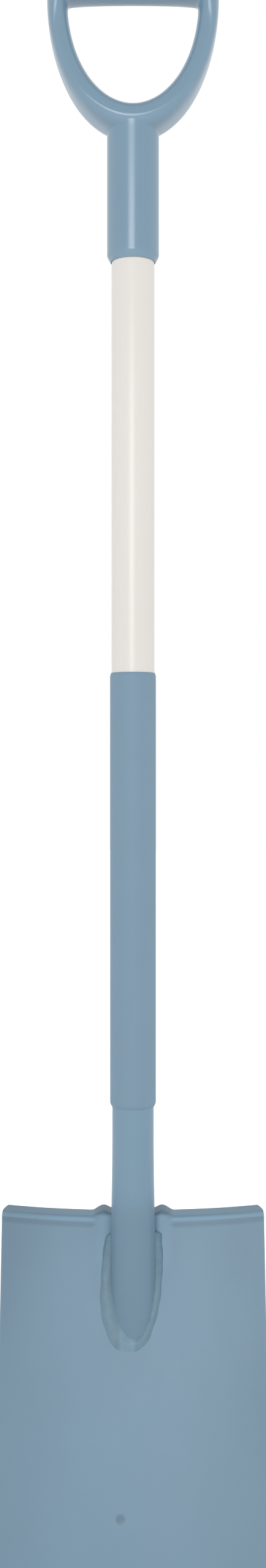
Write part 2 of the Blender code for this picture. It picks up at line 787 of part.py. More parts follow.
def make_weld(owner, name, legs, round_start, shift=0.0):
    """A bead along the tube. It starts round or against another bead, and ends against another one."""
    start = legs[0][0]
    end = legs[-1][0]
    steps = max(round(abs(end - start) / WELD_STEP), 4)
    angles = [start + (end - start) * i / steps for i in range(steps + 1)]
    if round_start:
        first_step = (end - start) / steps
        angles[1:1] = [start + first_step * share for share in (0.1, 0.3, 0.6)]
    sections = []
    travelled = 0.0
    last_root = weld_root(math.radians(start))
    for number, angle in enumerate(angles):
        root = weld_root(math.radians(angle))
        travelled += (root - last_root).length
        last_root = root
        fade = math.sin(math.pi * number / (len(angles) - 1))
        scale = 1 + WELD_RIPPLE * fade * math.sin(math.tau * travelled / WELD_RIPPLE_LENGTH)
        if round_start:
            begun = min((travelled / WELD_START_LENGTH + 0.1) / 1.1, 1)
            scale *= math.sqrt(1 - (1 - begun) ** 2)
        along = {0: -shift, len(angles) - 1: shift}.get(number, 0.0)
        sections.append(weld_section(math.radians(angle), leg_at(legs, angle), scale, along))
    owner.part(name, loft_mesh(name, sections), "weld", owner.blade_origin)


def make_welds(owner):
    """Left and right beads down the tube's sides, and the toe bead between their lower ends."""
    make_weld(owner, "weld_left", WELD_LEFT, True)
    make_weld(owner, "weld_right", WELD_RIGHT, True)
    make_weld(owner, "weld_toe", WELD_TOE, False, WELD_JOIN)


def main():
    clear_scene()
    owner = Workshop()
    screw_way = make_d_handle(owner)
    shaft_tube = make_shaft_tube(owner, screw_way)
    make_shaft_plug(owner, screw_way)
    make_handle_screw(owner)
    make_sleeve(owner)
    neck_tube = make_neck_tube(owner)
    make_joint_rivets(owner, shaft_tube, neck_tube)
    make_blade(owner)
    make_welds(owner)


main()
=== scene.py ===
import math

import bmesh
import bpy
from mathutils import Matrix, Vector, noise


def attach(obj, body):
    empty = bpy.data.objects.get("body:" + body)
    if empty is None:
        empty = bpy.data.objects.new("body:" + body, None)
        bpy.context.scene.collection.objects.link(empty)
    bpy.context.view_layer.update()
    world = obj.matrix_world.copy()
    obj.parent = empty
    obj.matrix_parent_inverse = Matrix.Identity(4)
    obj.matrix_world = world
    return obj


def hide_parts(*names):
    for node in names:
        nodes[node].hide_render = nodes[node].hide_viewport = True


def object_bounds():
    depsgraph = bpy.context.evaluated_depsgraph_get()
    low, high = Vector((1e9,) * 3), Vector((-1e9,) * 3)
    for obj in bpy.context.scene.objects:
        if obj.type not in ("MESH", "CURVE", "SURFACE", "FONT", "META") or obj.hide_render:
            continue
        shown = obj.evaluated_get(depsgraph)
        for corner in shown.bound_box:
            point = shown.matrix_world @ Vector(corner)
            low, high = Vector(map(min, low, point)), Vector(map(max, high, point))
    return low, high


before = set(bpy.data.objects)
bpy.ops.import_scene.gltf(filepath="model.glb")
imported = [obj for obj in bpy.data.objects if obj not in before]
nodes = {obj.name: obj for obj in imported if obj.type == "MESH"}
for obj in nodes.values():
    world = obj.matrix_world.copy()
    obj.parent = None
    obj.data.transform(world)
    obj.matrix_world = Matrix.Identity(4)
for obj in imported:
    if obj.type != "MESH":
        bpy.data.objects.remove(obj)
cadLow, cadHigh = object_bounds()
print("spade: frame loaded with", len(nodes), "nodes")

scene = bpy.context.scene
scene.view_settings.view_transform = "Standard"

# camera: level with the middle of the spade, as the photograph was taken
view = {"place": (0.0, -1.232, -0.5602), "lens": 39.375, "sensor": 36.0, "nearest": 0.02}

eye = bpy.data.cameras.new("camera")
eye.lens = view["lens"]
eye.sensor_fit = "AUTO"
eye.sensor_width = view["sensor"]
eye.clip_start = view["nearest"]
camera = bpy.data.objects.new("camera", eye)
camera.location = view["place"]
camera.rotation_euler = (math.pi / 2, 0.0, 0.0)
scene.collection.objects.link(camera)
scene.camera = camera
print("spade: camera placed")


# helpers for curves and sections

def smoothstep(low, high, value):
    t = min(max((value - low) / (high - low), 0.0), 1.0)
    return t * t * (3 - 2 * t)


def between(start, end, share):
    return start + (end - start) * share


def lastInside(inside, low, high, halvings=40):
    # narrows the stretch down to the place where inside stops being true
    for _ in range(halvings):
        middle = (low + high) / 2
        if inside(middle):
            low = middle
        else:
            high = middle
    return low


def evenSteps(start, end, count):
    # count even steps from start to end, without start itself
    return [start + (end - start) * (i + 1) / count for i in range(count)]


def crowdedShares(count):
    # shares from 0 to 1 that lie closer together towards both ends
    return [0.5 - 0.5 * math.cos(math.pi * (i + 0.5) / count) for i in range(count)]


def circle(radius, height, sides):
    turns = [math.tau * i / sides for i in range(sides)]
    return [(radius * math.sin(t), -radius * math.cos(t), height) for t in turns]


def softCorners(profile, radius, steps=3, keep=()):
    # rounds the corners of a closed profile, apart from the ones numbered in keep
    rounded = []
    count = len(profile)
    for i, corner in enumerate(profile):
        if i in keep:
            rounded.append(corner)
            continue
        here = Vector(corner)
        before = Vector(profile[i - 1]) - here
        after = Vector(profile[(i + 1) % count]) - here
        start = here + before.normalized() * min(radius, before.length / 2)
        end = here + after.normalized() * min(radius, after.length / 2)
        for step in range(steps + 1):
            t = step / steps
            rounded.append(tuple(start.lerp(here, t).lerp(here.lerp(end, t), t)))
    return rounded


def loftMesh(name, rings, looped=False):
    # a closed skin through equal rings; the ends are capped unless it runs back into itself
    build = bmesh.new()
    rows = [[build.verts.new(point) for point in ring] for ring in rings]
    pairs = list(zip(rows, rows[1:]))
    if looped:
        pairs.append((rows[-1], rows[0]))
    for lower, upper in pairs:
        for i in range(len(lower)):
            j = (i + 1) % len(lower)
            build.faces.new((lower[i], lower[j], upper[j], upper[i]))
    if not looped:
        for row in (rows[0], rows[-1]):
            middle = build.verts.new(sum((v.co for v in row), Vector()) / len(row))
            for i in range(len(row)):
                build.faces.new((row[i], row[(i + 1) % len(row)], middle))
    bmesh.ops.recalc_face_normals(build, faces=build.faces)
    mesh = bpy.data.meshes.new(name)
    build.to_mesh(mesh)
    build.free()
    return mesh


def turnedMesh(name, profile, sides, looped=True):
    # turns a profile of (radius, height) round the shaft's axis
    return loftMesh(name, [circle(radius, height, sides) for radius, height in profile], looped)


def applied(piece):
    # turns the piece's modifiers into plain mesh
    bpy.context.view_layer.update()
    ready = piece.evaluated_get(bpy.context.evaluated_depsgraph_get())
    mesh = bpy.data.meshes.new_from_object(ready)
    piece.modifiers.clear()
    piece.data = mesh


def cutOrJoin(piece, toolMesh, operation):
    tool = bpy.data.objects.new("tool", toolMesh)
    scene.collection.objects.link(tool)
    step = piece.modifiers.new("join", "BOOLEAN")
    step.operation = operation
    step.solver = "EXACT"
    step.object = tool
    applied(piece)
    bpy.data.objects.remove(tool)


def newPiece(name, mesh):
    piece = bpy.data.objects.new(name, mesh)
    scene.collection.objects.link(piece)
    return piece


def finishPiece(piece, material, replaced, sharpAngle=40):
    piece.data.materials.clear()
    piece.data.materials.append(material)
    piece.data.shade_smooth()
    piece.data.set_sharp_from_angle(angle=math.radians(sharpAngle))
    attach(piece, "root")
    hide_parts(replaced)


# effects shared by the materials

def nodeAdder(tree):
    def add(kind, **settings):
        made = tree.nodes.new(kind)
        for key, value in settings.items():
            setattr(made, key, value)
        return made
    return add


def startGroup(name, inputs, outputs):
    group = bpy.data.node_groups.new(name, "ShaderNodeTree")
    for label, kind, value in inputs:
        socket = group.interface.new_socket(label, in_out="INPUT", socket_type="NodeSocket" + kind)
        if value is not None:
            socket.default_value = value
    for label, kind in outputs:
        group.interface.new_socket(label, in_out="OUTPUT", socket_type="NodeSocket" + kind)
    add = nodeAdder(group)
    return group, add, add("NodeGroupInput"), add("NodeGroupOutput")


def worked(tree, operation, *values):
    # one step of maths; each value is a number or another step's output
    step = nodeAdder(tree)("ShaderNodeMath", operation=operation)
    for socket, value in zip(step.inputs, values):
        if isinstance(value, (int, float)):
            socket.default_value = value
        else:
            tree.links.new(value, socket)
    return step.outputs[0]


def makeCloudyGroup():
    # soft patches a little lighter and darker than the colour, as a coat has that is not quite even
    group, add, given, out = startGroup(
        "cloudyCoat",
        [("Place", "Vector", None), ("Colour", "Color", (0.5, 0.5, 0.5, 1)), ("Patch Size", "Float", 20.0),
         ("Stretch", "Vector", (1.0, 1.0, 1.0)), ("Spread", "Float", 0.05)],
        [("Colour", "Color"), ("Patches", "Float")],
    )
    link = group.links.new
    stretched = add("ShaderNodeVectorMath", operation="MULTIPLY")
    clouds = add("ShaderNodeTexNoise")
    clouds.inputs["Detail"].default_value = 3.0
    clouds.inputs["Roughness"].default_value = 0.45
    centred = add("ShaderNodeMapRange")
    centred.inputs["From Min"].default_value = 0.3
    centred.inputs["From Max"].default_value = 0.7
    centred.inputs["To Min"].default_value = -1.0
    centred.inputs["To Max"].default_value = 1.0
    tinted = add("ShaderNodeVectorMath", operation="SCALE")
    link(given.outputs["Place"], stretched.inputs[0])
    link(given.outputs["Stretch"], stretched.inputs[1])
    link(stretched.outputs[0], clouds.inputs["Vector"])
    link(given.outputs["Patch Size"], clouds.inputs["Scale"])
    link(clouds.outputs["Fac"], centred.inputs["Value"])
    amount = worked(group, "MULTIPLY_ADD", centred.outputs["Result"], given.outputs["Spread"], 1.0)
    link(given.outputs["Colour"], tinted.inputs[0])
    link(amount, tinted.inputs["Scale"])
    link(tinted.outputs[0], out.inputs["Colour"])
    link(clouds.outputs["Fac"], out.inputs["Patches"])
    return group


def makePeelGroup():
    # the fine waviness of a sprayed or baked coat, and the grain of a moulding's skin
    group, add, given, out = startGroup(
        "peelAndGrain",
        [("Place", "Vector", None), ("Peel Size", "Float", 500.0), ("Grain Size", "Float", 2500.0),
         ("Grain Share", "Float", 0.3)],
        [("Height", "Float")],
    )
    link = group.links.new
    peel = add("ShaderNodeTexNoise")
    peel.inputs["Detail"].default_value = 2.0
    grain = add("ShaderNodeTexVoronoi", feature="SMOOTH_F1")
    both = add("ShaderNodeMix", data_type="FLOAT")
    link(given.outputs["Place"], peel.inputs["Vector"])
    link(given.outputs["Place"], grain.inputs["Vector"])
    link(given.outputs["Peel Size"], peel.inputs["Scale"])
    link(given.outputs["Grain Size"], grain.inputs["Scale"])
    link(given.outputs["Grain Share"], both.inputs[0])
    link(peel.outputs["Fac"], both.inputs[2])
    link(grain.outputs["Distance"], both.inputs[3])
    link(both.outputs[0], out.inputs["Height"])
    return group


def makeRubbedGroup():
    # faint long marks where a hand or a rack has rubbed the coat a little smoother
    group, add, given, out = startGroup(
        "rubbedStreaks",
        [("Place", "Vector", None), ("Streak Size", "Float", 60.0), ("Along", "Float", 0.08)],
        [("Mask", "Float")],
    )
    link = group.links.new
    squeezed = add("ShaderNodeCombineXYZ")
    parts = add("ShaderNodeSeparateXYZ")
    streaks = add("ShaderNodeTexNoise")
    streaks.inputs["Detail"].default_value = 4.0
    streaks.inputs["Roughness"].default_value = 0.6
    cut = add("ShaderNodeMapRange")
    cut.inputs["From Min"].default_value = 0.45
    cut.inputs["From Max"].default_value = 0.75
    link(given.outputs["Place"], parts.inputs[0])
    link(parts.outputs["X"], squeezed.inputs["X"])
    link(parts.outputs["Y"], squeezed.inputs["Y"])
    link(worked(group, "MULTIPLY", parts.outputs["Z"], given.outputs["Along"]), squeezed.inputs["Z"])
    link(squeezed.outputs[0], streaks.inputs["Vector"])
    link(given.outputs["Streak Size"], streaks.inputs["Scale"])
    link(streaks.outputs["Fac"], cut.inputs["Value"])
    link(cut.outputs["Result"], out.inputs["Mask"])
    return group


def makeShadeGroup(backShift=0.1):
    # paints light or shade into a colour: lightens or darkens it where a measure in metres is up to near, and
    # fades out at far;
    # the more a face looks to the back, the further off it counts, so that the back keeps its colour
    group, add, given, out = startGroup(
        "shadedPlace",
        [("Colour", "Color", (0.5, 0.5, 0.5, 1)), ("Measure", "Float", 0.0), ("Normal", "Vector", None),
         ("Near", "Float", 0.0), ("Far", "Float", 1.0), ("Shade", "Float", 1.0)],
        [("Colour", "Color")],
    )
    link = group.links.new
    facing = add("ShaderNodeSeparateXYZ")
    share = add("ShaderNodeMapRange", interpolation_type="SMOOTHSTEP")
    scaled = add("ShaderNodeVectorMath", operation="SCALE")
    link(given.outputs["Normal"], facing.inputs[0])
    backward = worked(group, "MAXIMUM", facing.outputs["Y"], 0)
    shifted = worked(group, "MULTIPLY_ADD", backward, backShift, given.outputs["Measure"])
    link(shifted, share.inputs["Value"])
    for label, socket in (("Near", "From Min"), ("Far", "From Max"), ("Shade", "To Min")):
        link(given.outputs[label], share.inputs[socket])
    link(given.outputs["Colour"], scaled.inputs[0])
    link(share.outputs["Result"], scaled.inputs["Scale"])
    link(scaled.outputs[0], out.inputs["Colour"])
    return group


cloudyCoat = makeCloudyGroup()
peelAndGrain = makePeelGroup()
rubbedStreaks = makeRubbedGroup()
shadedPlace = makeShadeGroup()


def coatMaterial(name, look):
    # one finish from its dictionary: cloudy colour, rubbed roughness, and peel or grain as bump
    material = bpy.data.materials.new(name)
    material.use_nodes = True
    tree = material.node_tree
    add = nodeAdder(tree)
    link = tree.links.new
    shader = tree.nodes["Principled BSDF"]
    place = add("ShaderNodeTexCoord")
    clouds = add("ShaderNodeGroup", node_tree=cloudyCoat)
    clouds.inputs["Colour"].default_value = (*look["colour"], 1)
    clouds.inputs["Patch Size"].default_value = look["patchSize"]
    clouds.inputs["Stretch"].default_value = look.get("patchStretch", (1, 1, 1))
    clouds.inputs["Spread"].default_value = look["patchSpread"]
    streaks = add("ShaderNodeGroup", node_tree=rubbedStreaks)
    streaks.inputs["Streak Size"].default_value = look["streakSize"]
    skin = add("ShaderNodeGroup", node_tree=peelAndGrain)
    skin.inputs["Peel Size"].default_value = look["peelSize"]
    skin.inputs["Grain Size"].default_value = look["grainSize"]
    skin.inputs["Grain Share"].default_value = look["grainShare"]
    smoother = add("ShaderNodeMapRange")
    smoother.inputs["To Min"].default_value = look["roughness"]
    smoother.inputs["To Max"].default_value = look["rubbedRoughness"]
    bump = add("ShaderNodeBump")
    bump.inputs["Strength"].default_value = look["bump"]
    bump.inputs["Distance"].default_value = look["bumpDepth"]
    for group in (clouds, streaks, skin):
        link(place.outputs["Object"], group.inputs["Place"])
    link(clouds.outputs["Colour"], shader.inputs["Base Color"])
    link(streaks.outputs["Mask"], smoother.inputs["Value"])
    link(smoother.outputs["Result"], shader.inputs["Roughness"])
    link(skin.outputs["Height"], bump.inputs["Height"])
    link(bump.outputs["Normal"], shader.inputs["Normal"])
    shader.inputs["Metallic"].default_value = look.get("metallic", 0.0)
    shader.inputs["Specular IOR Level"].default_value = look.get("specular", 0.5)
    return material


def placeIn(material):
    # the point's x, y and z on the spade
    tree = material.node_tree
    parts = nodeAdder(tree)("ShaderNodeSeparateXYZ")
    tree.links.new(tree.nodes["Texture Coordinate"].outputs["Object"], parts.inputs[0])
    return parts.outputs


def tint(material, measure, near, far, shade):
    # lightens or darkens the coat's colour at one more place, between the colour and its shader; most of
    # these places are painted light and shade
    tree = material.node_tree
    link = tree.links.new
    colour = tree.nodes["Principled BSDF"].inputs["Base Color"]
    shading = nodeAdder(tree)("ShaderNodeGroup", node_tree=shadedPlace)
    for label, value in (("Near", near), ("Far", far), ("Shade", shade)):
        shading.inputs[label].default_value = value
    link(colour.links[0].from_socket, shading.inputs["Colour"])
    link(measure, shading.inputs["Measure"])
    link(tree.nodes["Texture Coordinate"].outputs["Normal"], shading.inputs["Normal"])
    link(shading.outputs["Colour"], colour)


coatedSteelLook = {
    "colour": (0.208, 0.328, 0.430), "patchSize": 14.0, "patchSpread": 0.02, "streakSize": 90.0,
    "peelSize": 480.0, "grainSize": 3200.0, "grainShare": 0.25, "bump": 0.35, "bumpDepth": 0.00012,
    "roughness": 0.42, "rubbedRoughness": 0.37, "specular": 0.3,
}
# the beads' coat is darker than the plate's: painted shade for the crevice between tube and plate
weldLook = {
    "colour": (0.158, 0.262, 0.335), "patchSize": 160.0, "patchSpread": 0.05, "streakSize": 300.0,
    "peelSize": 520.0, "grainSize": 1500.0, "grainShare": 0.4, "bump": 0.4, "bumpDepth": 0.00015,
    "roughness": 0.42, "rubbedRoughness": 0.36, "specular": 0.4,
}
whitePaintLook = {
    "colour": (0.795, 0.765, 0.722), "patchSize": 9.0, "patchStretch": (1, 1, 0.6), "patchSpread": 0.008,
    "streakSize": 120.0, "peelSize": 420.0, "grainSize": 2600.0, "grainShare": 0.2, "bump": 0.2,
    "bumpDepth": 0.0001, "roughness": 0.28, "rubbedRoughness": 0.27,
}
sleeveLook = {
    "colour": (0.197, 0.309, 0.406), "patchSize": 25.0, "patchSpread": 0.008, "streakSize": 70.0,
    "peelSize": 900.0, "grainSize": 2300.0, "grainShare": 0.7, "bump": 0.5, "bumpDepth": 0.00012,
    "roughness": 0.62, "rubbedRoughness": 0.55,
}
handleLook = {
    "colour": (0.175, 0.296, 0.401), "patchSize": 18.0, "patchSpread": 0.008, "streakSize": 60.0,
    "peelSize": 260.0, "grainSize": 3500.0, "grainShare": 0.15, "bump": 0.12, "bumpDepth": 0.0001,
    "roughness": 0.25, "rubbedRoughness": 0.21, "specular": 0.8,
}
plugLook = {
    "colour": (0.02, 0.02, 0.022), "patchSize": 40.0, "patchSpread": 0.1, "streakSize": 90.0,
    "peelSize": 700.0, "grainSize": 2500.0, "grainShare": 0.5, "bump": 0.4, "bumpDepth": 0.0001,
    "roughness": 0.5, "rubbedRoughness": 0.45,
}
zincLook = {
    "colour": (0.6, 0.6, 0.58), "patchSize": 350.0, "patchSpread": 0.12, "streakSize": 800.0,
    "peelSize": 1500.0, "grainSize": 4000.0, "grainShare": 0.5, "bump": 0.2, "bumpDepth": 0.00005,
    "roughness": 0.38, "rubbedRoughness": 0.28, "metallic": 1.0,
}

coatedSteel = coatMaterial("coatedSteel", coatedSteelLook)
weldCoat = coatMaterial("weldCoat", weldLook)
whitePaint = coatMaterial("whitePaint", whitePaintLook)
sleevePlastic = coatMaterial("sleevePlastic", sleeveLook)
handlePlastic = coatMaterial("handlePlastic", handleLook)
plugPlastic = coatMaterial("plugPlastic", plugLook)
zincSteel = coatMaterial("zincSteel", zincLook)
print("spade: materials made")


# D handle: the moulded loop, its socket and the screw's seat at the back
handle = {
    "width": 0.1232, "depth": 0.028, "gripHeight": 0.0278, "gripEndFullness": 2.6,
    "windowWidth": 0.0942, "windowHeight": 0.0742, "windowCornerSharpness": 16, "windowMiddleShare": 0.4,
    "archDrop": 0.0962, "archCentreRise": 0.0030, "armFullness": 3.2, "gripFullness": 2.2,
    "ridgeDrop": 0.0864, "ridgeInset": 0.0006, "ridgeSlope": 0.3, "ridgeRounding": 0.0009,
    "armRidgeRounding": 0.0008, "ridgeTop": 0.006, "ridgeFull": -0.024, "ridgeShares": (0.42, 0.88),
    "socketDiameter": 0.0372, "socketLength": 0.0945, "socketRoot": 0.0046, "yokeProud": 0.0013,
    "yokeFlat": 0.034, "yokeReach": 0.080, "roundStart": 0.020, "roundEnd": 0.052,
    "flare": 0.0007, "flareLength": 0.0024, "mouthChamfer": 0.0025, "mouthChamferHeight": 0.0047,
    "mouthRound": 0.0009, "boreRadius": 0.0157, "boreDepth": 0.0836, "capRadius": 0.0004,
    "stations": 220, "cornerStations": 12, "cornerTurn": 0.12, "pointsInside": 15, "pointsOutside": 13,
    "ridgePoints": 4, "ridgeStep": 0.0003, "socketSides": 128, "socketRings": 60,
}

handleHalf = handle["width"] / 2
socketRadius = handle["socketDiameter"] / 2
archRise = handle["archCentreRise"]
archHeight = handle["archDrop"] + archRise
windowMiddle = -handle["windowHeight"] * handle["windowMiddleShare"]
shoulderHeight = archRise - archHeight * math.sqrt(1 - (socketRadius / handleHalf) ** 2)
mouthHeight = shoulderHeight - handle["socketLength"]


def inWindow(x, z):
    across = x / (handle["windowWidth"] / 2)
    down = (z - archRise) / (handle["windowHeight"] + archRise)
    level = max(z / (handle["windowHeight"] / 2) + 1, 0)
    sharp = handle["windowCornerSharpness"]
    return (across**2 + down**2) ** sharp + level**sharp < 1


def inOutline(x, z):
    across = abs(x) / handleHalf
    rise = z - archRise
    if rise < 0:
        return across**2 + (rise / archHeight) ** 2 < 1
    full = handle["gripEndFullness"]
    return across**full + (rise / (handle["gripHeight"] - archRise)) ** full < 1


def ridgeRatio(x, z):
    ridgeHeight = handle["ridgeDrop"] + archRise
    return math.hypot(x / (handleHalf - handle["ridgeInset"]), (z - archRise) / ridgeHeight)


def handleHalfDepth(x, z):
    # the loop is deepest at its ridge over the socket, and falls away from the ridge like a roof
    arm, aside = handle["depth"] / 2, abs(x)
    yokeShare = smoothstep(handle["yokeReach"], handle["yokeFlat"], aside)
    yoke = (socketRadius + handle["yokeProud"] - arm) * yokeShare
    depth = arm + yoke * smoothstep(archRise, -handle["ridgeDrop"], z)
    within = (1 - ridgeRatio(x, z)) * (handle["ridgeDrop"] + archRise)
    middle = smoothstep(handle["roundEnd"], handle["roundStart"], aside)
    bend = math.hypot(within, between(handle["armRidgeRounding"], handle["ridgeRounding"], middle))
    drop = (bend + within) / 2 + middle * (bend - within) / 2
    return depth - handle["ridgeSlope"] * drop * smoothstep(handle["ridgeTop"], handle["ridgeFull"], z)


def handleSection(turn):
    # one section of the loop, back face out from the window and front face back to it
    wayX, wayZ = math.cos(turn), math.sin(turn)
    far = handle["width"] + handle["archDrop"]
    near = lastInside(lambda d: inWindow(d * wayX, windowMiddle + d * wayZ), 0, far)
    reach = lastInside(lambda d: inOutline(d * wayX, windowMiddle + d * wayZ), 0, far)
    ridge = lastInside(lambda d: ridgeRatio(d * wayX, windowMiddle + d * wayZ) < 1, 0, far)
    thick = reach - near
    least, most = handle["ridgeShares"]
    ridgeShare = min(max((ridge - near) / thick, least), most)
    points = handle["ridgePoints"]
    rim = handle["ridgeStep"] * points / thick
    shares = [(ridgeShare - rim) * share for share in crowdedShares(handle["pointsInside"])]
    shares += [ridgeShare + rim * i / points for i in range(-points, points + 1)]
    outside = crowdedShares(handle["pointsOutside"])
    shares += [1 - (1 - ridgeShare - rim) * share for share in reversed(outside)]
    bar = smoothstep(windowMiddle, 0, windowMiddle + near * wayZ)
    full = between(handle["armFullness"], handle["gripFullness"], bar)
    back, front = [], []
    for share in shares:
        distance = near + thick * share
        x, z = distance * wayX, windowMiddle + distance * wayZ
        y = handleHalfDepth(x, z) * (1 - abs(1 - 2 * share) ** full) ** (1 / full)
        back.append((x, y, z))
        front.append((x, -y, z))
    return back + front[::-1]


def makeHandle():
    # the sections lie closer together round the window's upper corners
    count, half, spread = handle["stations"], handle["cornerStations"], handle["cornerTurn"]
    turns = [math.tau * (i + 0.5) / count for i in range(count)]
    corner = math.atan2(-windowMiddle, handle["windowWidth"] / 2)
    for middle in (corner, math.pi - corner):
        turns = [turn for turn in turns if abs(turn - middle) > spread]
        turns += [middle + spread * i / half for i in range(-half, half + 1)]
    piece = newPiece("handle", loftMesh("handle", [handleSection(t) for t in sorted(turns)], True))

    # the socket: a turned solid whose bore ends a little above the shaft's end
    top = handle["socketLength"] + handle["socketRoot"]
    chamfer = handle["mouthChamfer"]
    ridgeRise = -handle["ridgeDrop"] - mouthHeight
    outer = []
    for h in [top] + evenSteps(top, handle["mouthChamferHeight"], handle["socketRings"]):
        outer.append((socketRadius + handle["flare"] * math.exp((h - ridgeRise) / handle["flareLength"]), h))
    profile = outer + [(socketRadius - chamfer, 0.0), (handle["boreRadius"], 0.0)]
    profile += [(handle["boreRadius"], handle["boreDepth"])]
    keep = list(range(len(outer) - 1)) + [len(profile) - 1]
    profile = softCorners(profile, handle["mouthRound"], steps=4, keep=keep)
    profile = [(handle["capRadius"], top)] + profile + [(handle["capRadius"], handle["boreDepth"])]
    socket = turnedMesh("socket", profile, handle["socketSides"], looped=False)
    for point in socket.vertices:
        point.co.z += mouthHeight
    cutOrJoin(piece, socket, "UNION")
    return piece


# the screw through the back of the socket, with a cross recess in its pan head
screw = {
    "rise": 0.040, "seatDepth": 0.0012, "seatRadius": 0.0044, "seatCut": 0.02, "gap": 0.0003,
    "headRadius": 0.0041, "headHeight": 0.0024, "headMiddle": 0.0003, "crownFlat": 0.55, "crownBent": 0.45,
    "crownSteps": 5, "crownDrop": 0.00012, "brimDrop": 0.0006, "brimRise": 0.00048,
    "shankRadius": 0.002, "length": 0.026, "tipRadius": 0.0002, "threadRings": 18, "threadStep": 0.0012,
    "threadRoot": 0.78, "recessReach": 0.0021, "recessWidth": 0.0008, "recessTop": (0.0004, 1.12),
    "recessFloor": (-0.0014, 0.45), "sides": 48,
}
screwHeight = mouthHeight + screw["rise"]
screwSeat = socketRadius - screw["seatDepth"]


def acrossFromBack(mesh, y):
    # lays a turned mesh over: its axis runs to the back, from the seat at y
    for point in mesh.vertices:
        x, depth, height = point.co
        point.co = (x, y + height, screwHeight - depth)
    return mesh


def recessMesh():
    # a cross that narrows into the head
    rings = []
    for rise, size in (screw["recessTop"], screw["recessFloor"]):
        reach, half = screw["recessReach"] * size, screw["recessWidth"] / 2 * size
        ring = []
        for turn in range(4):
            for x, y in ((half, half), (half, reach), (-half, reach)):
                for _ in range(turn):
                    x, y = -y, x
                ring.append((x, y, screw["headHeight"] + rise))
        rings.append(ring)
    return loftMesh("recess", rings)


def makeScrew():
    head, shank, crown = screw["headRadius"], screw["shankRadius"], screw["headHeight"]
    flat, bent = screw["crownFlat"], screw["crownBent"]
    profile = [(screw["headMiddle"], crown), (head * flat, crown - screw["crownDrop"])]
    for turn in evenSteps(0, math.pi / 2, screw["crownSteps"]):
        height = crown - screw["brimDrop"] + screw["brimRise"] * math.cos(turn)
        profile.append((head * (flat + bent * math.sin(turn)), height))
    profile += [(head, 0.0), (shank, 0.0)]
    for i in range(screw["threadRings"]):
        profile.append((shank * (1 if i % 2 else screw["threadRoot"]), -screw["threadStep"] * (i + 1)))
    profile.append((screw["tipRadius"], -screw["length"]))
    piece = newPiece("handleScrew", turnedMesh("screw", profile, screw["sides"], looped=False))
    cutOrJoin(piece, recessMesh(), "DIFFERENCE")
    acrossFromBack(piece.data, screwSeat + screw["gap"])
    return piece


handlePiece = makeHandle()
seatProfile = [(screw["seatRadius"], height) for height in (screw["seatCut"], 0.0)]
seat = turnedMesh("seat", seatProfile, screw["sides"], looped=False)
cutOrJoin(handlePiece, acrossFromBack(seat, screwSeat), "DIFFERENCE")
finishPiece(handlePiece, handlePlastic, "d_handle", sharpAngle=32)
finishPiece(makeScrew(), zincSteel, "handle_screw")
print("spade: handle and screw made")


# shaft tube and hand sleeve
shaft = {
    "radius": 0.0154, "wall": 0.0012, "shown": 0.2945, "insert": 0.080, "edgeRound": 0.0003, "sides": 128,
}
sleeve = {
    "radius": 0.01645, "length": 0.3108, "topChamfer": 0.0007, "topHeight": 0.0022, "endChamfer": 0.0011,
    "endHeight": 0.0026, "edgeRound": 0.0006, "jointCover": 0.045, "gap": 0.0003, "sides": 128,
}
neckRadius = 0.01485  # of the neck tube, which the sleeve and the blade are fitted to
sleeveTop = mouthHeight - shaft["shown"]
sleeveEnd = sleeveTop - sleeve["length"]
jointHeight = sleeveEnd + sleeve["jointCover"]


def makeShaft():
    radius, top = shaft["radius"], mouthHeight + shaft["insert"]
    bore = radius - shaft["wall"]
    profile = [(radius, top), (radius, jointHeight), (bore, jointHeight), (bore, top)]
    profile = softCorners(profile, shaft["edgeRound"], steps=2)
    return newPiece("shaft", turnedMesh("shaft", profile, shaft["sides"]))


def makeSleeve():
    radius, bore = sleeve["radius"], shaft["radius"] + sleeve["gap"]
    land, step = neckRadius + sleeve["gap"], jointHeight - sleeve["gap"]
    profile = [
        (radius - sleeve["topChamfer"], sleeveTop), (radius, sleeveTop - sleeve["topHeight"]),
        (radius, sleeveEnd + sleeve["endHeight"]), (radius - sleeve["endChamfer"], sleeveEnd),
        (land, sleeveEnd), (land, step - (bore - land)), (bore, step), (bore, sleeveTop),
    ]
    profile = softCorners(profile, sleeve["edgeRound"])
    return newPiece("sleeve", turnedMesh("sleeve", profile, sleeve["sides"]))


finishPiece(makeShaft(), whitePaint, "shaft_tube")
finishPiece(makeSleeve(), sleevePlastic, "sleeve")
print("spade: shaft and sleeve made")


# blade: one pressed plate with treads, ears at the tube and a seat for it
blade = {
    "width": 0.1885, "length": 0.290, "thickness": 0.002, "tilt": math.radians(16), "dish": 0.009,
    "edgeBow": 0.012, "edgeThinning": 0.3, "cornerRadius": 0.024, "treadFlange": 0.0095, "treadRise": 0.0034,
    "treadCorner": 0.0036, "rollRadius": 0.0026, "creaseRadius": 0.008, "creaseTurn": math.radians(14),
    "creaseSteps": 4, "rollSteps": 14, "flangeSteps": 8, "treadLift": math.radians(10), "treadLevel": 0.0005,
    "earOuter": 0.030, "earPeak": 0.0212, "earRise": 0.0043, "earDip": 0.0020, "squeezeReach": 1.25,
    "seatHalfWidth": 0.020, "seatDepth": 0.0032, "seatLength": 0.080, "neckShown": 0.0808,
    "dimplePlace": (-0.0087, 0.2052), "dimpleRadius": 0.0034, "dimpleDepth": 0.0006, "dimpleFlat": 0.25,
    "dimpleMargin": 1.1, "dimpleSteps": 7, "columns": (10, 16, 14, 14), "rows": 44, "rowCrowding": 1.2,
    "cornerRows": 12, "edgeRound": 0.0006, "edgeSegments": 3, "edgeTurn": math.radians(50),
}
